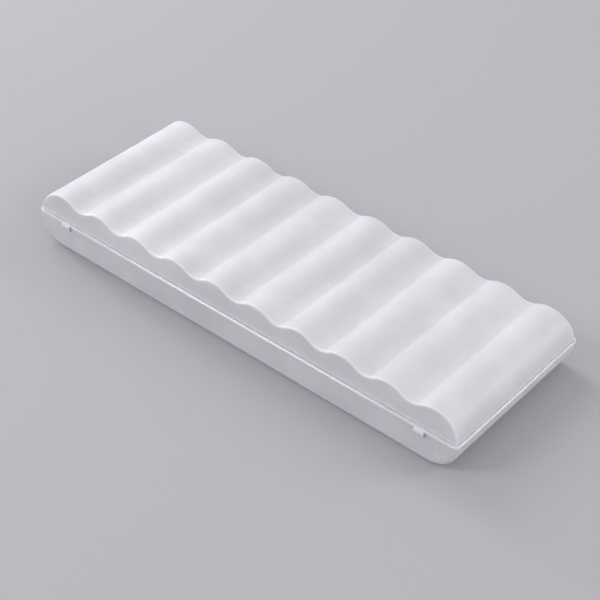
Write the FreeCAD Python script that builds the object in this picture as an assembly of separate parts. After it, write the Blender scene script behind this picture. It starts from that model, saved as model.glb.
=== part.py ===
"""Storage case for ten round cells that lie side by side.

Two mouldings in milky polypropylene: a tray with a low divider between each two cells, and a
lid with one rounded crest over each cell, whose long walls lean in from a stepped rim. The lid
hooks on two pins in the tray's near long wall and snaps shut on a ridge in the far one.
Millimetres, X along the row of cells, Y along each cell from the hinge side to the latch side,
Z up, origin at the middle of the underside.
"""
import FreeCAD, Part
import math
import os

# The cells that the case is made for
cell_count = 10
cell_diameter = 14.5
cell_length = 50.5
cell_pitch = 14.6

# Walls, and the play that they leave the cells
wall = 1.0
floor = 1.2
cell_side_play = 0.1
cell_end_play = 1.35
crest_play = 0.35

# Parting plane, and the softened edges of both halves
seam_height = 8.95
valley_radius = 5.9
tray_edge_radius = 1.2
inner_bevel = 0.6
rim_bevel = 0.15

# The lid's cover stands inside the tray's outline, and its long walls lean in to the crests
lid_step = 0.45
lid_lean = 0.85
lid_edge_bevel = 0.35
lid_inner_bevel = 0.3

# Lap joint: a lip on the tray stands inside the lid's rim
lip_height = 0.55
lip_thickness = 0.45
lap_gap = 0.1
lip_head_gap = 0.1

# Bead round the lid's rim, with a sloping shoulder up to the cover
bead_height = 1.0
bead_proud = 0.35
bead_corner_radius = 2.2
bead_bevel = 0.2
bead_shoulder = 0.45

# Low dividers between the cells, tapered for the mould
divider_height = 3.2
divider_length = 40.0
divider_foot = 1.6
divider_top = 0.8

# Hinge: a pin across a notch in the tray's wall, and a hook on the lid
hinge_offset = 62.9
hinge_axis_drop = 0.3
hinge_axis_inset = 0.1
pin_radius = 0.45
pin_root = 0.15
pin_clearance = 0.05
hook_wall = 0.5
hook_width = 3.15
hook_mouth_share = 0.85
hook_side_gap = 0.15
notch_gap = 0.12
pad_width = 11.4
pad_height = 5.3
pad_thickness = 0.75

# Latch: a tongue on the lid, with a bead that snaps under a ridge on the tray
latch_width = 16.0
latch_drop = 3.4
latch_wall = 0.8
latch_bead_radius = 0.3
latch_bead_sunk = 0.1
latch_pass_gap = 0.05
ridge_radius = 0.3
ridge_drop = 1.2
ridge_length = 11.0
ridge_end_bevel = 0.18
finger_lip_reach = 0.5
finger_lip_height = 0.9
finger_lip_edge = 0.3

# Ejector marks: low round pads on the lid's ceiling, in its hollows
ejector_radius = 1.7
ejector_height = 0.12
ejector_offset = 18.5

# Sizes that follow
half_row = (cell_count - 1) * cell_pitch / 2
end_radius = cell_diameter / 2 + cell_side_play + wall
tray_half_length = half_row + end_radius
tray_half_depth = cell_length / 2 + cell_end_play + wall
lip_inset = wall - lip_thickness
skirt = lip_inset - lap_gap
crest_radius = cell_diameter / 2 + crest_play + wall
crest_axis_height = floor + cell_diameter / 2
wave_span = crest_radius + valley_radius
wave_lean = math.degrees(math.asin(cell_pitch / 2 / wave_span))
valley_axis_height = crest_axis_height + wave_span * math.cos(math.radians(wave_lean))
crest_top = crest_axis_height + crest_radius
lid_half_depth = tray_half_depth - lid_step
lid_end_reach = end_radius - lid_step
end_fall = (crest_radius - lid_end_reach) / (1 - math.sin(math.radians(wave_lean)))
end_axis_x = half_row + end_fall * math.sin(math.radians(wave_lean))
end_axis_height = crest_axis_height + end_fall * math.cos(math.radians(wave_lean))
end_arc_radius = crest_radius - end_fall
pin_y = hinge_axis_inset - tray_half_depth
pin_z = seam_height - hinge_axis_drop
hook_radius = pin_radius + pin_clearance + hook_wall
notch_width = hook_width + 2 * hook_side_gap
past = 5.0  # how far a cutting tool runs past what it cuts
sharp = 0.3  # least corner radius inside a lap
close = 1e-6
facing = 0.9  # least Y share of the normal of a long face


def box(low, high):
    """A block between two opposite corners, each given as x, y, z."""
    size = [b - a for a, b in zip(low, high)]
    return Part.makeBox(*size, FreeCAD.Vector(*low))


def segment(start, end):
    """A straight edge in the XZ plane."""
    ends = [FreeCAD.Vector(x, 0, z) for x, z in (start, end)]
    return Part.LineSegment(*ends).toShape()


def arc(centre, radius, start, end):
    """An arc in the XZ plane, by its centre and the angles of its ends in degrees from +X."""
    at = [math.radians(a) for a in (start, (start + end) / 2, end)]
    points = [
        FreeCAD.Vector(centre[0] + radius * math.cos(a), 0, centre[1] + radius * math.sin(a))
        for a in at
    ]
    return Part.Arc(*points).toShape()


def along_y(edges, half_depth):
    """The prism of a closed profile in the XZ plane, from one long wall to the other."""
    face = Part.Face(Part.Wire(edges))
    face.translate(FreeCAD.Vector(0, -half_depth, 0))
    return face.extrude(FreeCAD.Vector(0, 2 * half_depth, 0))


def x_cylinder(x, y, z, radius, length):
    """A cylinder along X, centred on x."""
    start = FreeCAD.Vector(x - length / 2, y, z)
    return Part.makeCylinder(radius, length, start, FreeCAD.Vector(1, 0, 0))


def rounded_block(inset, low, high, radius):
    """A block that fills the case's plan less an inset, with its upright edges rounded."""
    half_length = tray_half_length - inset
    half_depth = tray_half_depth - inset
    block = box((-half_length, -half_depth, low), (half_length, half_depth, high))
    upright = [e for e in block.Edges if e.BoundBox.ZLength > (high - low) / 2]
    return block.makeFillet(radius, upright)


def long_face_edges(solid, open_height):
    """The edges of a solid's near and far long faces, apart from those of its open side."""
    chosen = []
    for face in solid.Faces:
        if abs(face.normalAt(0, 0).y) < facing:
            continue
        for edge in face.Edges:
            limits = edge.BoundBox
            if limits.ZLength > close or abs(limits.ZMin - open_height) > close:
                chosen.append(edge)
    return chosen


def wave_profile(inset, foot):
    """The lid's section: a crest over each cell, a hollow between, and ends that curve down.

    inset moves the whole line inwards by a wall, and foot is the height where it is closed."""
    edges = []
    for k in range(cell_count):
        x = k * cell_pitch - half_row
        crest = (x, crest_axis_height)
        edges.append(arc(crest, crest_radius - inset, 90.0 + wave_lean, 90.0 - wave_lean))
        if k < cell_count - 1:
            valley = (x + cell_pitch / 2, valley_axis_height)
            edges.append(arc(valley, valley_radius + inset, 270.0 - wave_lean, 270.0 + wave_lean))
    # The end arcs stop at the foot, or run on as straight walls to a foot below their centres
    radius = end_arc_radius - inset
    above = max(foot - end_axis_height, 0.0)
    end_angle = math.degrees(math.asin(above / radius))
    half_length = end_axis_x + radius * math.cos(math.radians(end_angle))
    for side in (-1, 1):
        centre = (side * end_axis_x, end_axis_height)
        low_angle = 90.0 - side * (90.0 - end_angle)
        edges.append(arc(centre, radius, low_angle, 90.0 - side * wave_lean))
        if foot < end_axis_height:
            x = side * half_length
            edges.append(segment((x, end_axis_height), (x, foot)))
    edges.append(segment((-half_length, foot), (half_length, foot)))
    return Part.sortEdges(edges)[0]


def leaning_sides(inset, foot):
    """A long block whose sides lean in towards the crests, as the lid's long walls do."""
    section = []
    for z, order in ((foot, (-1, 1)), (crest_top + past, (1, -1))):
        lean = lid_lean * (z - seam_height) / (crest_top - seam_height)
        for side in order:
            y = side * (lid_half_depth - inset - lean)
            section.append(FreeCAD.Vector(-tray_half_length, y, z))
    face = Part.Face(Part.makePolygon(section + section[:1]))
    return face.extrude(FreeCAD.Vector(2 * tray_half_length, 0, 0))


def tray_profile(inset, bottom, top):
    """The tray's section: a flat underside whose ends wrap round the last cells."""
    # The end arcs run on as straight walls, or stop at a top below their centres
    radius = end_radius - inset
    middle = bottom + radius
    below = max(middle - top, 0.0)
    end_angle = math.degrees(math.asin(below / radius))
    half_length = half_row + radius * math.cos(math.radians(end_angle))
    edges = [segment((-half_row, bottom), (half_row, bottom))]
    for side in (-1, 1):
        x = side * half_length
        edges.append(arc((side * half_row, middle), radius, -90.0, -90.0 + side * (90.0 - end_angle)))
        if top > middle:
            edges.append(segment((x, middle), (x, top)))
    edges.append(segment((-half_length, top), (half_length, top)))
    return Part.sortEdges(edges)[0]


def tray_shell():
    """Floor and walls, with a thinner lip that stands above the parting plane."""
    lip_top = seam_height + lip_height
    outside = along_y(tray_profile(0, 0, lip_top), tray_half_depth)
    outside = outside.makeFillet(tray_edge_radius, long_face_edges(outside, lip_top))
    well_top = lip_top + past
    well = along_y(tray_profile(wall, floor, well_top), tray_half_depth - wall)
    well = well.makeChamfer(inner_bevel, long_face_edges(well, well_top))
    kept = rim_edge().fuse(lip_block(well_top))
    off = rounded_block(-past, seam_height - wall, well_top, tray_edge_radius).cut(kept)
    return outside.cut(off).cut(well)


def lip_block(top):
    """The lip's outline over the parting plane, filled in."""
    return rounded_block(lip_inset, seam_height, top, max(tray_edge_radius - lip_inset, sharp))


def rim_edge():
    """The tray's outline under the parting plane, with the rim's edge broken.

    The bevel also lets the lid swing past the rim."""
    rim = rounded_block(0, seam_height - past, seam_height, tray_edge_radius)
    level = [
        e
        for e in rim.Edges
        if e.BoundBox.ZLength < close and abs(e.BoundBox.ZMin - seam_height) < close
    ]
    return rim.makeChamfer(rim_bevel, level)


def dividers():
    """Tapered walls between the cells, rounded along their tops and grown into the floor."""
    foot = divider_foot / 2
    tip = divider_top / 2
    shoulder = floor + divider_height - tip
    sunk = floor / 2
    walls = []
    for k in range(1, cell_count):
        x = (k - 0.5) * cell_pitch - half_row
        profile = [
            segment((x - foot, sunk), (x + foot, sunk)),
            segment((x + foot, sunk), (x + foot, floor)),
            segment((x + foot, floor), (x + tip, shoulder)),
            arc((x, shoulder), tip, 0.0, 180.0),
            segment((x - tip, shoulder), (x - foot, floor)),
            segment((x - foot, floor), (x - foot, sunk)),
        ]
        walls.append(along_y(profile, divider_length / 2))
    return walls


def hinge_pad(x):
    """Thicker wall behind a hinge notch, with a bevel round it for the mould."""
    inner_y = wall - tray_half_depth
    low = (x - pad_width / 2, inner_y - wall / 2, seam_height - pad_height)
    high = (x + pad_width / 2, inner_y + pad_thickness, seam_height)
    pad = box(low, high)
    rim = []
    for edge in pad.Edges:
        limits = edge.BoundBox
        on_face = limits.YLength < close and limits.YMin > inner_y
        if on_face and limits.ZMin < seam_height - close:
            rim.append(edge)
    return pad.makeChamfer(pad_thickness * 0.6, rim)


def hinge_notch(x):
    """Room for a hook: a round pocket about the pin, open outwards and upwards."""
    radius = hook_radius + notch_gap
    pocket = x_cylinder(x, pin_y, pin_z, radius, notch_width)
    low = (x - notch_width / 2, -tray_half_depth - past, pin_z)
    high = (x + notch_width / 2, pin_y + radius, seam_height + lip_height + past)
    return pocket.fuse(box(low, high))


def hinge_pin(x):
    """A pin across the notch, its ends grown into the tray's wall."""
    bridge = x_cylinder(x, pin_y, pin_z, pin_radius, notch_width)
    roots = x_cylinder(x, pin_y, pin_z, pin_radius, notch_width + 2 * pin_root)
    low = (x - notch_width, -tray_half_depth, pin_z - pin_radius)
    high = (x + notch_width, wall - tray_half_depth, seam_height)
    return bridge.fuse(roots.common(box(low, high)))


def latch_ridge():
    """Half-round ridge on the far wall, which the latch bead snaps under."""
    ridge = x_cylinder(0, tray_half_depth, seam_height - ridge_drop, ridge_radius, ridge_length)
    ends = [e for e in ridge.Edges if e.BoundBox.XLength < close]
    return ridge.makeChamfer(ridge_end_bevel, ends)


def make_tray():
    tray = tray_shell().multiFuse(dividers())
    for side in (-1, 1):
        x = side * hinge_offset
        tray = tray.fuse(hinge_pad(x)).cut(hinge_notch(x)).fuse(hinge_pin(x))
    return tray.fuse(latch_ridge())


def lid_shell():
    """The waved cover: one crest over each cell, hollow below, with leaning long walls."""
    outside = along_y(wave_profile(0, seam_height), tray_half_depth)
    outside = outside.common(leaning_sides(0, seam_height))
    outside = outside.makeChamfer(lid_edge_bevel, long_face_edges(outside, seam_height))
    foot = seam_height - past
    hollow = along_y(wave_profile(wall, foot), tray_half_depth)
    hollow = hollow.common(leaning_sides(wall, foot))
    hollow = hollow.makeChamfer(lid_inner_bevel, long_face_edges(hollow, foot))
    return outside.cut(hollow)


def rim_bead():
    """Rim round the cover's foot: an upright bead over the tray's edge, and a shoulder."""
    top = seam_height + bead_height + bead_shoulder
    ring = rounded_block(-bead_proud, seam_height, top, bead_corner_radius)
    for height, bevel in ((seam_height, bead_bevel), (top, bead_shoulder)):
        level = [
            e
            for e in ring.Edges
            if e.BoundBox.ZLength < close and abs(e.BoundBox.ZMin - height) < close
        ]
        ring = ring.makeChamfer(bevel, level)
    inside = rounded_block(lid_step + wall / 2, seam_height - past, top + past, tray_edge_radius)
    return ring.cut(inside)


def lap_rebate():
    """Room inside the lid's rim for the tray's lip."""
    top = seam_height + lip_height + lip_head_gap
    return rounded_block(skirt, seam_height - past, top, max(tray_edge_radius - skirt, sharp))


def hinge_hook(x):
    """A ring about the pin and a neck up to the rim, open towards the inside of the case."""
    ring = x_cylinder(x, pin_y, pin_z, hook_radius, hook_width)
    low = (x - hook_width / 2, -tray_half_depth, pin_z)
    high = (x + hook_width / 2, pin_y + hook_radius, seam_height + bead_height)
    half_mouth = hook_mouth_share * pin_radius
    mouth = box(
        (x - hook_width / 2, pin_y, pin_z - half_mouth),
        (x + hook_width / 2, pin_y + hook_radius, pin_z + half_mouth),
    )
    return ring.fuse(box(low, high)).cut(mouth)


def pin_room(x):
    """The bore of a hook, as long as the pin that runs in it."""
    length = notch_width + 4 * pin_root
    return x_cylinder(x, pin_y, pin_z, pin_radius + pin_clearance, length)


def latch_tongue():
    """Tongue down from the far rim, with a snap bead inside and a finger lip at its foot."""
    bead_y = tray_half_depth + ridge_radius + latch_pass_gap + latch_bead_radius
    inner = bead_y - latch_bead_sunk
    outer = inner + latch_wall
    top = seam_height + bead_height
    foot = seam_height - latch_drop
    side = latch_width / 2
    tongue = box((-side, inner, foot), (side, outer, top))
    lower_corners = []
    for edge in tongue.Edges:
        limits = edge.BoundBox
        if limits.YLength > latch_wall / 2 and limits.ZMax < foot + close:
            lower_corners.append(edge)
    tongue = tongue.makeFillet(latch_wall, lower_corners)
    root = box((-side, tray_half_depth - skirt / 2, seam_height), (side, outer, top))
    bead_z = seam_height - ridge_drop - ridge_radius - latch_bead_radius
    bead = x_cylinder(0, bead_y, bead_z, latch_bead_radius, ridge_length)
    lip_side = side - latch_wall
    lip = box(
        (-lip_side, inner + latch_wall / 2, foot),
        (lip_side, outer + finger_lip_reach, foot + finger_lip_height),
    )
    lip_front = [
        e
        for e in lip.Edges
        if e.BoundBox.XLength > lip_side and e.BoundBox.YMin > outer
    ]
    return tongue.multiFuse([root, bead, lip.makeFillet(finger_lip_edge, lip_front)])


def ejector_marks():
    """Low pads where the mould's ejector pins pressed on the ceiling of the lid's hollows."""
    ceiling = valley_axis_height - valley_radius - wall
    middle = cell_count // 2
    places = [(k, ejector_offset) for k in (1, middle, cell_count - 1)]
    places += [(k, -ejector_offset) for k in (2, cell_count - 2)]
    marks = []
    for k, y in places:
        start = FreeCAD.Vector((k - 0.5) * cell_pitch - half_row, y, ceiling - ejector_height)
        marks.append(Part.makeCylinder(ejector_radius, ejector_height + wall / 2, start))
    return marks


def make_lid():
    lid = lid_shell().fuse(rim_bead()).cut(lap_rebate())
    for side in (-1, 1):
        x = side * hinge_offset
        lid = lid.fuse(hinge_hook(x)).cut(pin_room(x))
    return lid.multiFuse([latch_tongue()] + ejector_marks())


os.makedirs("parts", exist_ok=True)
for name, shape in (("tray", make_tray()), ("lid", make_lid())):
    moulding = shape.removeSplitter()
    print(name, "solids", len(moulding.Solids), "valid", moulding.isValid(), "mm3", moulding.Volume)
    moulding.Solids[0].exportStep(f"parts/{name}.step")
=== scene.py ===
import math

import bmesh
import bpy
from mathutils import Matrix, Vector


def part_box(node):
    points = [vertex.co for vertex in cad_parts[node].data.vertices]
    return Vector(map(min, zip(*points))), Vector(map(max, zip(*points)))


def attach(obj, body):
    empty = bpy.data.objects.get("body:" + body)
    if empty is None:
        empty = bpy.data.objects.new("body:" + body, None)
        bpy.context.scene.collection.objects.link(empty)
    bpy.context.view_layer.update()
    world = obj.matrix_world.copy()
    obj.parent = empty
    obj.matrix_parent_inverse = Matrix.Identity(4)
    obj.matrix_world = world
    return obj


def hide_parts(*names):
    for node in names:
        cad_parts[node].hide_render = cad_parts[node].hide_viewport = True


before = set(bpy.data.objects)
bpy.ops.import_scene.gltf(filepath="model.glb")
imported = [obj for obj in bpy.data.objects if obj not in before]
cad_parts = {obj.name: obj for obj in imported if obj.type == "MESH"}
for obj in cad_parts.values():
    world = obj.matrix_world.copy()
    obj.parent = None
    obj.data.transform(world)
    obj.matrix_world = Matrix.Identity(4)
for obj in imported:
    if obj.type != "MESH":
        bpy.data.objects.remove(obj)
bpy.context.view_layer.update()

# The tray: the lower half that the cells lie in. It is natural polypropylene, milky because the
# plastic itself scatters light, and moulded in one shot with its walls, dividers, lip and pins.
milk_clear = (0.760, 0.745, 0.775, 1.0)
milk_dense = (0.830, 0.815, 0.845, 1.0)
# The white that the painted glow and highlights, and a few faint marks, go towards
glow_and_mark_white = (0.98, 0.98, 0.98, 1.0)
cloud_scale = 110.0
cloud_detail = 3.0
cloud_range = (0.7, 1.3)
flow_stretch = (60.0, 14.0, 60.0)
flow_detail = 2.0
grain_scale = 2600.0
grain_detail = 2.0
grain_depth = 0.00001
grain_strength = 0.35
satin_roughness = (0.40, 0.50)
polished_roughness = 0.15
plastic_ior = 1.49
sheen_weight = 0.25
sheen_roughness = 0.3
scatter_depth = 0.001
clear_share = 0.3
seam_height = 0.00895
lip_top = 0.0095
tray_corner_radius = 0.0012
cell_length = 0.0505
well_half_depth = 0.0266
hinge_offset = 0.0629
pad_width = 0.0114
pad_height = 0.0053
wall_fade = 0.0003
# Shares of white: painted glow at the foot and the lip, and a faint outline at the pads
foot_glow_white = 0.9
lip_glow_white = 0.3
pad_outline_white = 0.15


def set_sockets(tree, node, sockets):
    """Set a node's sockets by name or number, or link them where the value is itself a socket."""
    for name, value in sockets.items():
        if isinstance(value, bpy.types.NodeSocket):
            tree.links.new(value, node.inputs[name])
        else:
            node.inputs[name].default_value = value


def add_node(tree, kind, sockets=None, **settings):
    """A new node with its settings and its sockets."""
    made = tree.nodes.new(kind)
    for name, value in settings.items():
        setattr(made, name, value)
    set_sockets(tree, made, sockets or {})
    return made


def maths(tree, operation, *values):
    """The result of one sum on numbers or sockets."""
    return add_node(tree, "ShaderNodeMath", dict(enumerate(values)), operation=operation).outputs[0]


def greatest(tree, value, *others):
    """The greatest of several values."""
    for other in others:
        value = maths(tree, "MAXIMUM", value, other)
    return value


def parts_of(tree, value):
    """The three coordinates of a vector, by the names X, Y and Z."""
    return add_node(tree, "ShaderNodeSeparateXYZ", {0: value}).outputs


def ramp(tree, value, start, end):
    """0 before the start, 1 after the end and a smooth rise between; it falls if they are swapped."""
    sockets = {"Value": value, "From Min": start, "From Max": end}
    return add_node(tree, "ShaderNodeMapRange", sockets, interpolation_type="SMOOTHSTEP").outputs[0]


def band(tree, value, low, high, fade, share):
    """The share inside a band of values, which fades to nothing outside it."""
    rise = ramp(tree, value, low - fade, low)
    fall = ramp(tree, value, high + fade, high)
    return maths(tree, "MULTIPLY", maths(tree, "MULTIPLY", rise, fall), share)


def mixed_colour(tree, share, base, other):
    """A colour between two, by a share from 0 to 1."""
    mix = add_node(tree, "ShaderNodeMix", data_type="RGBA")
    # The node has inputs of one name for each kind of value, so those for colours go by number
    set_sockets(tree, mix, {0: share, 6: base, 7: other})
    return mix.outputs[2]


def noise(tree, place, scale, detail):
    """Noise at a place, from 0 to 1."""
    sockets = {"Vector": place, "Scale": scale, "Detail": detail}
    return add_node(tree, "ShaderNodeTexNoise", sockets).outputs[0]


def milky_plastic(name, thick):
    """Natural polypropylene: it scatters light, lets some through, and is painted whiter by a mask.

    thick gives the share of painted glow and highlight at a place, and of a few faint marks,
    from 0 in the walls to 1 in rims and edges."""
    material = bpy.data.materials.new(name)
    material.use_nodes = True
    tree = material.node_tree
    coordinates = tree.nodes.new("ShaderNodeTexCoord").outputs
    place = coordinates["Object"]

    # Faint clouds in the plastic, and long flow lines along the cells
    clouds = noise(tree, place, cloud_scale, cloud_detail)
    stretched = add_node(tree, "ShaderNodeMapping", {"Vector": place, "Scale": flow_stretch}).outputs[0]
    flow = noise(tree, stretched, 1.0, flow_detail)
    cloudy = ramp(tree, maths(tree, "ADD", clouds, flow), *cloud_range)
    # The mask paints edge glow and highlights whiter, and a few faint marks
    edges = thick(tree, coordinates)
    colour = mixed_colour(tree, edges, mixed_colour(tree, cloudy, milk_clear, milk_dense), glow_and_mark_white)

    # A satin face with a fine grain, and polished edges
    low, high = satin_roughness
    satin = maths(tree, "MULTIPLY_ADD", cloudy, high - low, low)
    polish = maths(tree, "SUBTRACT", polished_roughness, satin)
    grain = noise(tree, place, grain_scale, grain_detail)
    bump = {"Height": grain, "Strength": grain_strength, "Distance": grain_depth}
    finish = {
        "Base Color": colour,
        "Roughness": maths(tree, "MULTIPLY_ADD", edges, polish, satin),
        "Normal": add_node(tree, "ShaderNodeBump", bump).outputs[0],
        "IOR": plastic_ior,
        "Sheen Weight": sheen_weight,
        "Sheen Roughness": sheen_roughness,
        "Subsurface Weight": 1.0,
        "Subsurface Radius": (1.0, 1.0, 1.0),
        "Subsurface Scale": scatter_depth,
        "Transmission Weight": clear_share,
    }
    set_sockets(tree, tree.nodes["Principled BSDF"], finish)
    return material


def tray_glow_and_outline(tree, coordinates):
    """Painted glow round the tray's underside and in its lip, and a faint outline at the hinge pads."""
    spot = parts_of(tree, coordinates["Object"])
    # Painted glow: a bright line round the bottom edge, outside the well
    foot = band(tree, spot["Z"], -wall_fade, tray_corner_radius, wall_fade, foot_glow_white)
    out = maths(tree, "ABSOLUTE", spot["Y"])
    outside_well = ramp(tree, out, well_half_depth, well_half_depth + wall_fade)
    foot = maths(tree, "MULTIPLY", foot, outside_well)
    # Painted glow along the tray's lip
    lip = band(tree, spot["Z"], seam_height, lip_top, wall_fade, lip_glow_white)
    from_hinge = maths(tree, "SUBTRACT", maths(tree, "ABSOLUTE", spot["X"]), hinge_offset)
    beside = maths(tree, "SUBTRACT", maths(tree, "ABSOLUTE", from_hinge), pad_width / 2)
    under = maths(tree, "SUBTRACT", seam_height - pad_height, spot["Z"])
    outline = band(tree, greatest(tree, beside, under), -wall_fade, 0.0, wall_fade, pad_outline_white)
    near_wall = ramp(tree, spot["Y"], 0.0, -cell_length / 2)
    return greatest(tree, foot, lip, maths(tree, "MULTIPLY", outline, near_wall))


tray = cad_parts["tray"]
tray.data.materials.clear()
tray.data.materials.append(milky_plastic("tray_polypropylene", tray_glow_and_outline))

# The lid: the upper half, with a rounded crest over each cell. It is the same plastic, moulded in
# one shot: a waved cover whose long walls lean in, a stepped rim with a rebate for the tray's lip,
# two hooks that turn on the hinge pins, a latch tongue at the back and five faint ejector pads.
cell_count = 10
cell_pitch = 0.0146
cell_radius = 0.00725
wall = 0.001
tray_floor = 0.0012
tray_half_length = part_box("tray")[1].x
tray_half_depth = 0.0276
half_row = (cell_count - 1) * cell_pitch / 2
lid_step = 0.00045
lid_lean = 0.00085
crest_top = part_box("lid")[1].z
crest_axis_height = tray_floor + cell_radius
crest_radius = crest_top - crest_axis_height
valley_radius = 0.0059
wave_span = crest_radius + valley_radius
wave_lean = math.asin(cell_pitch / 2 / wave_span)
valley_axis_height = crest_axis_height + wave_span * math.cos(wave_lean)
lid_half_depth = tray_half_depth - lid_step
lid_half_length = tray_half_length - lid_step
end_fall = (crest_radius + half_row - lid_half_length) / (1 - math.sin(wave_lean))
lid_edge_radius = 0.0005
inner_edge_radius = 0.0003
face_support = 0.0003
past = 0.005
arc_steps = 16
edge_steps = 6
depth_steps = 24
least_gap = 1e-7


def vector(tree, x=0.0, y=0.0, z=0.0):
    """A vector from three numbers or sockets."""
    return add_node(tree, "ShaderNodeCombineXYZ", {0: x, 1: y, 2: z}).outputs[0]


def point_place(tree):
    """Where each point of a mesh or a curve is, by the names X, Y and Z."""
    return parts_of(tree, tree.nodes.new("GeometryNodeInputPosition").outputs[0])


def clamped(tree, value, low, high):
    """A value kept between two others."""
    return maths(tree, "MINIMUM", maths(tree, "MAXIMUM", value, low), high)


def new_tree(name, inputs):
    """A geometry tree with named number inputs, and its sockets for them and for its result."""
    tree = bpy.data.node_groups.new(name, "GeometryNodeTree")
    tree.interface.new_socket("Geometry", in_out="OUTPUT", socket_type="NodeSocketGeometry")
    for label, value in inputs.items():
        socket = tree.interface.new_socket(label, in_out="INPUT", socket_type="NodeSocketFloat")
        socket.default_value = value
    given = tree.nodes.new("NodeGroupInput")
    result = tree.nodes.new("NodeGroupOutput")
    return tree, [given.outputs[label] for label in inputs], result.inputs[0]


def welded(tree, mesh):
    """A mesh with its doubled points merged."""
    sockets = {"Geometry": mesh, "Distance": least_gap}
    return add_node(tree, "GeometryNodeMergeByDistance", sockets).outputs[0]


def waved_block_tree():
    """A solid under a wave: a crest over each cell, a hollow between, and rounded long edges.

    A grid is bent into place: its columns run along the wave and its rows from the near long
    side over the top to the far one. Its open foot is closed by a fan of faces."""
    tree, (inset, edge, foot), result = new_tree(
        "waved_block",
        {"Inset": 0.0, "Edge Radius": lid_edge_radius, "Foot Height": seam_height},
    )
    arcs = 2 * cell_count + 1
    wave_steps = arcs * arc_steps
    face_rows = 2
    rows = 2 * (face_rows + edge_steps) + depth_steps + 1
    dropped_columns = 1
    columns = wave_steps + 1 + 2 * dropped_columns
    grid = add_node(
        tree,
        "GeometryNodeMeshGrid",
        {"Size X": columns - 1, "Size Y": rows - 1, "Vertices X": columns, "Vertices Y": rows},
    )
    place = point_place(tree)

    # Across the lid: how far each row stands from the middle, and how far round its edge it is
    across = maths(tree, "ABSOLUTE", place["Y"])
    from_foot = maths(tree, "SUBTRACT", (rows - 1) / 2, across)
    past_edge = maths(tree, "DIVIDE", maths(tree, "SUBTRACT", from_foot, face_rows), edge_steps)
    round_share = clamped(tree, maths(tree, "SUBTRACT", 1.0, past_edge), 0.0, 1.0)
    edge_angle = maths(tree, "MULTIPLY", round_share, math.pi / 2)
    sunk = maths(tree, "MULTIPLY", edge, maths(tree, "SUBTRACT", 1.0, maths(tree, "COSINE", edge_angle)))
    flat_share = maths(tree, "MINIMUM", maths(tree, "DIVIDE", across, depth_steps / 2), 1.0)

    # Along the lid: which arc of the wave each column is on, and how far along that arc it is
    along = clamped(tree, maths(tree, "ADD", place["X"], wave_steps / 2), 0.0, wave_steps)
    slack = 0.001
    arc = maths(tree, "FLOOR", maths(tree, "DIVIDE", maths(tree, "ADD", along, slack), arc_steps))
    arc = maths(tree, "MINIMUM", arc, arcs - 1)
    share = maths(tree, "SUBTRACT", maths(tree, "DIVIDE", along, arc_steps), arc)
    middle_arc = clamped(tree, arc, 1.0, arcs - 2)
    valley = maths(tree, "SUBTRACT", 1.0, maths(tree, "MODULO", middle_arc, 2.0))
    crest = maths(tree, "SUBTRACT", 1.0, valley)
    outwards = maths(tree, "SUBTRACT", arc, middle_arc)
    is_end = maths(tree, "ABSOLUTE", outwards)

    def lean_at(joint):
        """The wave's lean at a joint between two arcs: upright at the ends, in turns between."""
        from_middle = maths(tree, "SUBTRACT", joint, arcs / 2)
        at_end = maths(tree, "GREATER_THAN", maths(tree, "ABSOLUTE", from_middle), (arcs - 1) / 2)
        size = maths(tree, "MULTIPLY_ADD", math.pi / 2 - wave_lean, at_end, wave_lean)
        turn = maths(tree, "COSINE", maths(tree, "MULTIPLY", joint, math.pi))
        side = maths(tree, "SIGN", from_middle)
        way = maths(tree, "MULTIPLY_ADD", maths(tree, "SUBTRACT", side, turn), at_end, turn)
        return maths(tree, "MULTIPLY", size, way)

    start = lean_at(arc)
    end = lean_at(maths(tree, "ADD", arc, 1.0))
    lean = maths(tree, "MULTIPLY_ADD", maths(tree, "SUBTRACT", end, start), share, start)

    # Each arc's radius and axis; the end arcs are tighter, about an axis further out and up
    crest_here = maths(tree, "SUBTRACT", maths(tree, "SUBTRACT", crest_radius, inset), sunk)
    crest_here = maths(tree, "MULTIPLY_ADD", is_end, -end_fall, crest_here)
    valley_here = maths(tree, "ADD", maths(tree, "ADD", inset, valley_radius), sunk)
    on_crest = maths(tree, "MULTIPLY", crest_here, crest)
    in_valley = maths(tree, "MULTIPLY", valley_here, valley)
    reach = maths(tree, "SUBTRACT", on_crest, in_valley)
    from_first = maths(tree, "SUBTRACT", middle_arc, 1.0)
    axis_x = maths(tree, "MULTIPLY_ADD", from_first, cell_pitch / 2, -half_row)
    axis_x = maths(tree, "MULTIPLY_ADD", outwards, end_fall * math.sin(wave_lean), axis_x)
    axis_z = maths(tree, "MULTIPLY_ADD", valley, valley_axis_height - crest_axis_height, crest_axis_height)
    axis_z = maths(tree, "MULTIPLY_ADD", is_end, end_fall * math.cos(wave_lean), axis_z)
    x = maths(tree, "MULTIPLY_ADD", reach, maths(tree, "SINE", lean), axis_x)
    z = maths(tree, "MULTIPLY_ADD", reach, maths(tree, "COSINE", lean), axis_z)

    # The outermost rows and columns drop to the foot, and the next rows only a little. Rows and
    # columns stand at whole steps, so a limit half a step further tells one from the next
    half_step = 0.5
    past_ends = maths(tree, "GREATER_THAN", maths(tree, "ABSOLUTE", place["X"]), wave_steps / 2 + half_step)
    foot_row = maths(tree, "LESS_THAN", from_foot, half_step)
    under_edge = maths(tree, "LESS_THAN", from_foot, 1.0 + half_step)
    z = maths(tree, "MULTIPLY_ADD", under_edge, -face_support, z)
    low = greatest(tree, past_ends, foot_row)
    z = maths(tree, "MULTIPLY_ADD", maths(tree, "SUBTRACT", foot, z), low, z)

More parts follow.
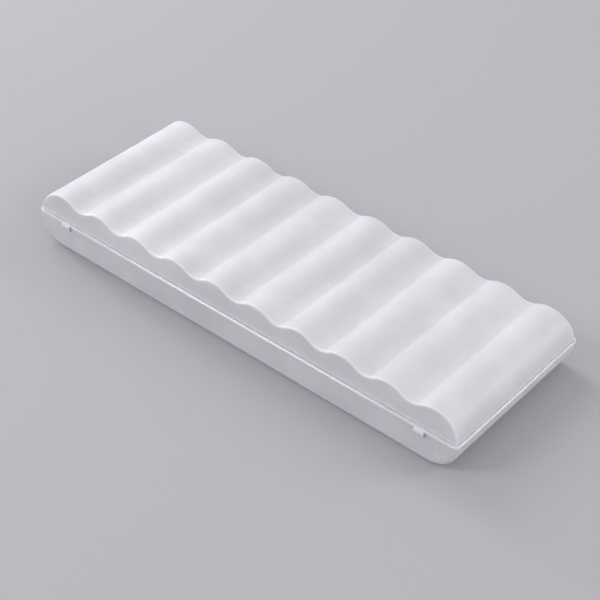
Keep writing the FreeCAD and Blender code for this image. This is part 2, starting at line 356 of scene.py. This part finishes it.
    # The long walls lean in as they rise
    rise = maths(tree, "DIVIDE", maths(tree, "SUBTRACT", z, seam_height), crest_top - seam_height)
    face = maths(tree, "SUBTRACT", maths(tree, "MULTIPLY_ADD", rise, -lid_lean, lid_half_depth), inset)
    rounding = maths(tree, "MULTIPLY", edge, maths(tree, "SINE", edge_angle))
    y = maths(tree, "MULTIPLY_ADD", maths(tree, "SUBTRACT", face, edge), flat_share, rounding)
    y = maths(tree, "MULTIPLY", maths(tree, "SIGN", place["Y"]), y)
    bent = {"Geometry": grid.outputs["Mesh"], "Position": vector(tree, x, y, z)}
    skin = add_node(tree, "GeometryNodeSetPosition", bent).outputs[0]

    # The fan that closes the foot, out from the edges that have a single face
    neighbours = tree.nodes.new("GeometryNodeInputMeshEdgeNeighbors").outputs[0]
    is_open = maths(tree, "LESS_THAN", neighbours, 1.0 + half_step)
    opening = {"Mesh": skin, "Selection": is_open, "Offset Scale": 0.0}
    fan = add_node(tree, "GeometryNodeExtrudeMesh", opening, mode="EDGES").outputs
    gathered = {"Geometry": fan["Mesh"], "Selection": fan["Top"], "Position": vector(tree, z=foot)}
    closed = add_node(tree, "GeometryNodeSetPosition", gathered).outputs[0]
    tree.links.new(welded(tree, closed), result)
    return tree


waved_block = waved_block_tree()
bead_height = 0.00085
bead_proud = 0.00032
bead_corner_radius = 0.0018
bead_low_bevel = 0.0002
bead_top_bevel = 0.00045
bead_depth = bead_proud + lid_step + wall / 2
lip_height = 0.00055
lip_head_gap = 0.0001
skirt = 0.00045
lap_corner_radius = 0.00075
corner_steps = 12
bevel_steps = 1


def placed(tree, solid, move, turn=(0, 0, 0)):
    """A solid turned about the origin and then moved."""
    sockets = {"Geometry": solid, "Translation": move, "Rotation": turn}
    return add_node(tree, "GeometryNodeTransform", sockets).outputs[0]


def extruded(tree, outline, move):
    """The solid that a closed flat outline sweeps as it moves."""
    sheet = add_node(tree, "GeometryNodeFillCurve", {"Curve": outline}, mode="NGONS").outputs[0]
    sweep = {"Mesh": sheet, "Offset": move, "Individual": False}
    raised = add_node(tree, "GeometryNodeExtrudeMesh", sweep).outputs["Mesh"]
    underside = add_node(tree, "GeometryNodeFlipFaces", {"Mesh": sheet}).outputs[0]
    both = tree.nodes.new("GeometryNodeJoinGeometry")
    for side in (raised, underside):
        tree.links.new(side, both.inputs[0])
    return welded(tree, both.outputs[0])


def plan_outline(tree, inset, corner):
    """The tray's plan less an inset, with rounded corners."""
    sizes = {
        "Width": maths(tree, "MULTIPLY_ADD", inset, -2.0, 2 * tray_half_length),
        "Height": maths(tree, "MULTIPLY_ADD", inset, -2.0, 2 * tray_half_depth),
    }
    outline = add_node(tree, "GeometryNodeCurvePrimitiveQuadrilateral", sizes).outputs[0]
    rounded = {"Curve": outline, "Count": corner_steps, "Radius": corner}
    return add_node(tree, "GeometryNodeFilletCurve", rounded, mode="POLY").outputs[0]


def rim_slab_tree():
    """A slab over the tray's plan less an inset, between two heights."""
    tree, (inset, corner, low, high), result = new_tree(
        "rim_slab", {"Inset": 0.0, "Corner Radius": lap_corner_radius, "Low": 0.0, "High": seam_height}
    )
    tall = maths(tree, "SUBTRACT", high, low)
    solid = extruded(tree, plan_outline(tree, inset, corner), vector(tree, z=tall))
    tree.links.new(placed(tree, solid, vector(tree, z=low)), result)
    return tree


def rim_bead_tree():
    """The bead that runs round the rim: a bevelled section swept along the rim's plan."""
    tree, (tall, top_bevel), result = new_tree(
        "rim_bead", {"Height": bead_height, "Top Bevel": bead_top_bevel}
    )
    path = plan_outline(tree, -bead_proud, bead_corner_radius)
    sizes = {"Width": bead_depth, "Height": tall}
    section = add_node(tree, "GeometryNodeCurvePrimitiveQuadrilateral", sizes).outputs[0]
    point = point_place(tree)
    outer = maths(tree, "GREATER_THAN", point["X"], 0.0)
    upper = maths(tree, "GREATER_THAN", point["Y"], 0.0)
    more_above = maths(tree, "SUBTRACT", top_bevel, bead_low_bevel)
    bevel = maths(tree, "MULTIPLY_ADD", upper, more_above, bead_low_bevel)
    bevels = {"Curve": section, "Count": bevel_steps, "Radius": maths(tree, "MULTIPLY", bevel, outer)}
    bevelled = add_node(tree, "GeometryNodeFilletCurve", bevels, mode="POLY").outputs[0]
    profile = placed(tree, bevelled, vector(tree, x=-bead_depth / 2))
    swept = add_node(tree, "GeometryNodeCurveToMesh", {"Curve": path, "Profile Curve": profile}).outputs[0]
    lift = maths(tree, "MULTIPLY_ADD", tall, 0.5, seam_height)
    tree.links.new(placed(tree, swept, vector(tree, z=lift)), result)
    return tree


rim_slab = rim_slab_tree()
rim_bead = rim_bead_tree()
hinge_axis_inset = 0.0001
hinge_axis_drop = 0.0003
pin_radius = 0.00045
pin_clearance = 0.00005
hook_wall = 0.0005
hook_width = 0.00315
hook_mouth_share = 0.85
pin_room_length = 0.00405
pin_y = hinge_axis_inset - tray_half_depth
pin_z = seam_height - hinge_axis_drop
hook_radius = pin_radius + pin_clearance + hook_wall
latch_width = 0.016
latch_drop = 0.0034
latch_wall = 0.0008
latch_bead_radius = 0.0003
latch_bead_sunk = 0.0001
latch_pass_gap = 0.00005
ridge_radius = 0.0003
ridge_drop = 0.0012
ridge_length = 0.011
finger_lip_reach = 0.0005
finger_lip_height = 0.0009
finger_lip_edge = 0.0003
ejector_radius = 0.0023
ejector_height = 0.00012
ejector_offset = 0.0185
rod_sides = 48
pad_sides = 64
end_hollow = half_row - cell_pitch / 2
near_hollow = end_hollow - cell_pitch


def block(tree, low, high):
    """A block between two opposite corners."""
    size = [b - a for a, b in zip(low, high)]
    middle = [(a + b) / 2 for a, b in zip(low, high)]
    return placed(tree, add_node(tree, "GeometryNodeMeshCube", {"Size": size}).outputs[0], middle)


def cylinder(tree, sides, radius, length):
    """A cylinder along Z, about the origin."""
    sizes = {"Vertices": sides, "Radius": radius, "Depth": length}
    return add_node(tree, "GeometryNodeMeshCylinder", sizes, fill_type="NGON").outputs[0]


def x_rod(tree, y, z, radius, length):
    """A rod along X, centred on the middle of the lid."""
    return placed(tree, cylinder(tree, rod_sides, radius, length), (0, y, z), (0, math.pi / 2, 0))


def joined(tree, *solids):
    """One solid from several that overlap."""
    made = add_node(tree, "GeometryNodeMeshBoolean", operation="UNION", solver="MANIFOLD")
    for solid in solids:
        tree.links.new(solid, made.inputs["Mesh 2"])
    return made.outputs["Mesh"]


def cut(tree, whole, tool):
    """A solid less another."""
    solids = {"Mesh 1": whole, "Mesh 2": tool}
    made = add_node(tree, "GeometryNodeMeshBoolean", operation="DIFFERENCE", solver="MANIFOLD")
    set_sockets(tree, made, solids)
    return made.outputs["Mesh"]


def repeated(tree, solid, count, start, offset):
    """Copies of a solid at even steps along a line."""
    steps = {"Count": count, "Start Location": start, "Offset": offset}
    line = add_node(tree, "GeometryNodeMeshLine", steps).outputs[0]
    copies = add_node(tree, "GeometryNodeInstanceOnPoints", {"Points": line, "Instance": solid}).outputs[0]
    return add_node(tree, "GeometryNodeRealizeInstances", {0: copies}).outputs[0]


def at_both_hinges(tree, solid):
    """A solid at each of the two hinges."""
    return repeated(tree, solid, 2, (-hinge_offset, 0, 0), (2 * hinge_offset, 0, 0))


def hook(tree):
    """A ring about the pin and a neck up to the rim, open towards the inside of the case."""
    ring = x_rod(tree, pin_y, pin_z, hook_radius, hook_width)
    side = hook_width / 2
    rim_top = seam_height + bead_height
    neck = block(tree, (-side, -tray_half_depth, pin_z), (side, pin_y + hook_radius, rim_top))
    half_mouth = hook_mouth_share * pin_radius
    reach = 2 * hook_radius
    mouth = block(tree, (-reach, pin_y, pin_z - half_mouth), (reach, pin_y + reach, pin_z + half_mouth))
    return cut(tree, joined(tree, ring, neck), mouth)


def tongue(tree):
    """A tongue down from the far rim, with a snap bead inside and a finger lip at its foot."""
    bead_y = tray_half_depth + ridge_radius + latch_pass_gap + latch_bead_radius
    inner = bead_y - latch_bead_sunk
    middle = inner + latch_wall / 2
    outer = inner + latch_wall
    top = seam_height + bead_height
    foot = seam_height - latch_drop
    side = latch_width / 2
    low_side = side - latch_wall
    leaf = block(tree, (-side, inner, foot + latch_wall), (side, outer, top))
    low_part = block(tree, (-low_side, inner, foot), (low_side, outer, top))
    upright = cylinder(tree, rod_sides, latch_wall, latch_wall)
    corner = placed(tree, upright, (0, middle, foot + latch_wall), (math.pi / 2, 0, 0))
    corners = repeated(tree, corner, 2, (-low_side, 0, 0), (2 * low_side, 0, 0))
    root = block(tree, (-side, tray_half_depth - skirt / 2, seam_height), (side, outer, top))
    bead_z = seam_height - ridge_drop - ridge_radius - latch_bead_radius
    bead = x_rod(tree, bead_y, bead_z, latch_bead_radius, ridge_length)

    # The finger lip: two blocks that cross, with a rod in each of its outer corners
    lip_front = outer + finger_lip_reach
    round_y = lip_front - finger_lip_edge
    lip_top_z = foot + finger_lip_height
    round_heights = (foot + finger_lip_edge, lip_top_z - finger_lip_edge)
    lip = block(tree, (-low_side, middle, round_heights[0]), (low_side, lip_front, round_heights[1]))
    lip_root = block(tree, (-low_side, middle, foot), (low_side, round_y, lip_top_z))
    rods = [x_rod(tree, round_y, height, finger_lip_edge, 2 * low_side) for height in round_heights]
    return joined(tree, leaf, low_part, corners, root, bead, lip, lip_root, *rods)


def pads(tree):
    """Low pads on the ceiling of the hollows: three towards the latch and two towards the hinge."""
    ceiling = valley_axis_height - valley_radius - wall
    tall = ejector_height + wall / 2
    pad = cylinder(tree, pad_sides, ejector_radius, tall)
    height = ceiling - ejector_height + tall / 2
    far = repeated(tree, pad, 3, (-end_hollow, ejector_offset, height), (end_hollow, 0, 0))
    near = repeated(tree, pad, 2, (-near_hollow, -ejector_offset, height), (2 * near_hollow, 0, 0))
    return far, near


def cover_tree(material):
    """The whole lid: the waved shell, its rim, the rebate for the tray's lip, hooks and latch."""
    tree, (thick,), result = new_tree("waved_lid", {"Wall": wall})

    def part(kind, **sizes):
        """A solid from one of the trees above, with some of its inputs set."""
        sockets = {name.replace("_", " "): value for name, value in sizes.items()}
        return add_node(tree, "GeometryNodeGroup", sockets, node_tree=kind).outputs[0]

    hollow = part(waved_block, Inset=thick, Edge_Radius=inner_edge_radius, Foot_Height=seam_height - past)
    shell = cut(tree, part(waved_block), hollow)
    rebate = part(
        rim_slab,
        Inset=skirt,
        Corner_Radius=lap_corner_radius,
        Low=seam_height - past,
        High=seam_height + lip_height + lip_head_gap,
    )
    cover = cut(tree, joined(tree, shell, part(rim_bead)), rebate)
    bores = at_both_hinges(tree, x_rod(tree, pin_y, pin_z, pin_radius + pin_clearance, pin_room_length))
    cover = cut(tree, joined(tree, cover, at_both_hinges(tree, hook(tree))), bores)
    cover = joined(tree, cover, tongue(tree), *pads(tree))
    real = add_node(tree, "GeometryNodeRealizeInstances", {0: cover}).outputs[0]
    painted = add_node(tree, "GeometryNodeSetMaterial", {"Geometry": real, "Material": material})
    tree.links.new(painted.outputs[0], result)
    return tree


# Heights of a painted light band low on the lid's walls
root_low = 0.01
root_high = 0.0105
edge_line_width = 0.0002
bead_fade = 0.0001
flat_facing = 0.95
turned_facing = 0.75
root_light_band_white = 0.45
edge_highlight_white = 0.3
ejector_white = 0.2


def lid_glow_and_rings(tree, coordinates):
    """Painted glow in the lid's bead, a painted light band low on its walls,
    painted highlight along its wave edges and a faint ring at each pad.
    """
    spot = parts_of(tree, coordinates["Object"])
    facing = parts_of(tree, coordinates["Normal"])
    # Painted glow and highlight over the whole rim bead
    bead = band(tree, spot["Z"], seam_height - past, seam_height + bead_height, bead_fade, 1.0)
    # A painted light band low on the walls, just over the rim
    root = band(tree, spot["Z"], root_low, root_high, wall_fade, root_light_band_white)

    # Painted highlight along the wave's edge: near the long walls' top, where the face has turned
    # away from the wall's way
    crest_face = lid_half_depth - lid_lean - lid_edge_radius
    out = ramp(tree, maths(tree, "ABSOLUTE", spot["Y"]), crest_face, crest_face + edge_line_width)
    turned = ramp(tree, maths(tree, "ABSOLUTE", facing["Y"]), flat_facing, turned_facing)
    edge = maths(tree, "MULTIPLY", maths(tree, "MULTIPLY", out, turned), edge_highlight_white)

    # A faint ring where each ejector pad ends
    rings = []
    pad_places = [(x, ejector_offset) for x in (-end_hollow, 0.0, end_hollow)]
    pad_places += [(x, -ejector_offset) for x in (-near_hollow, near_hollow)]
    for x, y in pad_places:
        off = [maths(tree, "SUBTRACT", spot[axis], at) for axis, at in (("X", x), ("Y", y))]
        squares = [maths(tree, "MULTIPLY", length, length) for length in off]
        reach = maths(tree, "SQRT", maths(tree, "ADD", *squares))
        inside = ejector_radius - edge_line_width
        rings.append(band(tree, reach, inside, ejector_radius, edge_line_width, ejector_white))
    return greatest(tree, bead, root, edge, *rings)


lid_seed = bpy.data.objects.new("lid_seed", bpy.data.meshes.new("lid_seed"))
bpy.context.scene.collection.objects.link(lid_seed)
builder = lid_seed.modifiers.new("waved_lid", "NODES")
builder.node_group = cover_tree(milky_plastic("lid_polypropylene", lid_glow_and_rings))
wall_input = builder.node_group.interface.items_tree["Wall"].identifier
builder[wall_input] = wall
bpy.context.view_layer.update()
evaluated = lid_seed.evaluated_get(bpy.context.evaluated_depsgraph_get())
lid_mesh = bpy.data.meshes.new_from_object(evaluated)
lid_seed.modifiers.clear()
bpy.data.objects.remove(lid_seed)
work = bmesh.new()
work.from_mesh(lid_mesh)
bmesh.ops.dissolve_degenerate(work, dist=least_gap, edges=work.edges)
work.to_mesh(lid_mesh)
work.free()
sharp_angle = math.radians(30)
lid_mesh.shade_smooth()
lid_mesh.set_sharp_from_angle(angle=sharp_angle)
lid = bpy.data.objects.new("lid_moulding", lid_mesh)
bpy.context.scene.collection.objects.link(lid)
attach(lid, "lid")
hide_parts("lid")

# The floor: a wide sheet of plain pale paper that the case rests on. It is matt, so that no lamp
# shows in it.
floor_half_width = 3.0
floor_colour = (0.40, 0.40, 0.41, 1.0)
floor_roughness = 0.9
signs = ((-1, -1), (1, -1), (1, 1), (-1, 1))
corners = [(x * floor_half_width, y * floor_half_width, 0.0) for x, y in signs]
floor_mesh = bpy.data.meshes.new("floor")
floor_mesh.from_pydata(corners, [], [(0, 1, 2, 3)])
floor = bpy.data.objects.new("floor", floor_mesh)
bpy.context.scene.collection.objects.link(floor)
paper = bpy.data.materials.new("pale_paper")
paper.use_nodes = True
matt = {"Base Color": floor_colour, "Roughness": floor_roughness, "Specular IOR Level": 0.0}
set_sockets(paper.node_tree, paper.node_tree.nodes["Principled BSDF"], matt)
floor_mesh.materials.append(paper)

# The light: a pale room with four soft lamps, and a smaller one low on the left. From that one
# each crest shades the slope behind it, so that the shade ends in a crisp line in every hollow.
room_colour = (0.96, 0.95, 1.0, 1.0)
room_strength = 0.73
room = bpy.data.worlds.new("room")
room.use_nodes = True
pale = {"Color": room_colour, "Strength": room_strength}
set_sockets(room.node_tree, room.node_tree.nodes["Background"], pale)
bpy.context.scene.world = room


def soft_lamp(name, place, size, power):
    """A square lamp that faces the case."""
    light = bpy.data.lights.new(name, "AREA")
    light.size = size
    light.energy = power
    lamp = bpy.data.objects.new(name, light)
    lamp.location = place
    lamp.rotation_mode = "QUATERNION"
    lamp.rotation_quaternion = (-Vector(place)).to_track_quat("-Z", "Y")
    bpy.context.scene.collection.objects.link(lamp)


soft_lamp("low_left_lamp", (-1.0, 0.1, 0.22), 0.08, 2.9)
soft_lamp("left_lamp", (-0.55, 0.15, 0.42), 0.3, 1.5)
soft_lamp("near_left_lamp", (-0.46, -0.62, 0.61), 0.3, 2.6)
soft_lamp("far_right_lamp", (0.63, 0.61, 0.48), 0.4, 2.3)
soft_lamp("right_lamp", (0.9, -0.3, 0.4), 0.5, 1.6)

# The camera: it looks down on the near right corner from above, through a long lens. Its place,
# its slight roll and its focal length, in the photo's pixels, were fitted to the case's edges.
camera_azimuth = math.radians(38.38)
camera_elevation = math.radians(39.37)
camera_roll = math.radians(-2.37)
camera_distance = 0.4302
camera_aim = Vector((0.00312, -0.00195, 0.00209))
photo_width = 600.0
focal_pixels = 1541.0
sensor_width = 36.0
nearest_seen = 0.01
level = math.cos(camera_elevation)
back = Vector(
    (math.sin(camera_azimuth) * level, -math.cos(camera_azimuth) * level, math.sin(camera_elevation))
)
right = Vector((math.cos(camera_azimuth), math.sin(camera_azimuth), 0.0))
roll = Matrix.Rotation(-camera_roll, 3, back)
axes = Matrix((roll @ right, roll @ back.cross(right), back)).transposed()
view = bpy.data.cameras.new("camera")
view.sensor_width = sensor_width
view.lens = sensor_width * focal_pixels / photo_width
view.clip_start = nearest_seen
camera = bpy.data.objects.new("camera", view)
camera.matrix_world = Matrix.Translation(camera_aim + camera_distance * back) @ axes.to_4x4()
bpy.context.scene.collection.objects.link(camera)
bpy.context.scene.camera = camera
bpy.context.scene.view_settings.view_transform = "Standard"
